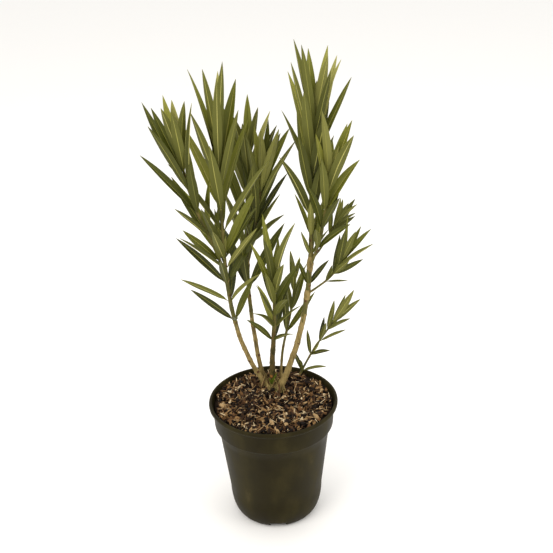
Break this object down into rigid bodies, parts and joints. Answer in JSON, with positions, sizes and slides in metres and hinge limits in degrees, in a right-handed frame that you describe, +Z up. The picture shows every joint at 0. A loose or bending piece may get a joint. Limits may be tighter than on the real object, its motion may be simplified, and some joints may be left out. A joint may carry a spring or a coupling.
{
  "type": "potted shrub",
  "caption": "Young oleander shrub with slender upright leafy stems, growing from bark mix in a round dark nursery container",
  "frame": {"origin": "centre of the flat underside of the container, which is what the plant stands on", "axes": "+Z is up through the container; -Y is the front, the side away from the clump of stems; +X is to the right seen from the front"},
  "size_m": [0.3477, 0.2903, 0.8087],
  "materials": {
    "container": "satin moulded plastic",
    "bark_mix": "loose shredded bark",
    "old_stem": "thin smooth bark with leaf scars",
    "young_stem": "smooth green bark",
    "dark_leaf": "leathery leaf, satin",
    "leaf": "leathery leaf, satin",
    "pale_leaf": "leathery leaf, satin"
  },
  "bodies": {
    "root": {"pot": "container", "potting_mix": "bark_mix", "stem_left": "old_stem", "stem_back": "old_stem", "stem_middle": "old_stem", "stem_right": "old_stem", "stem_inner": "old_stem", "stem_low": "old_stem", "bough_left": "young_stem", "bough_back": "young_stem", "bough_upper": "young_stem", "bough_side": "young_stem", "bough_lower": "young_stem", "foliage_left_low": "dark_leaf", "foliage_left_centre": "leaf", "foliage_left": "pale_leaf", "foliage_back": "dark_leaf", "foliage_back_right": "leaf", "foliage_middle": "dark_leaf", "foliage_right_top": "leaf", "foliage_right_upper": "pale_leaf", "foliage_right_side": "leaf", "foliage_right_lower": "dark_leaf", "foliage_low": "leaf", "foliage_inner": "pale_leaf", "foliage_right_base": "dark_leaf"}
  },
  "joints": []
}
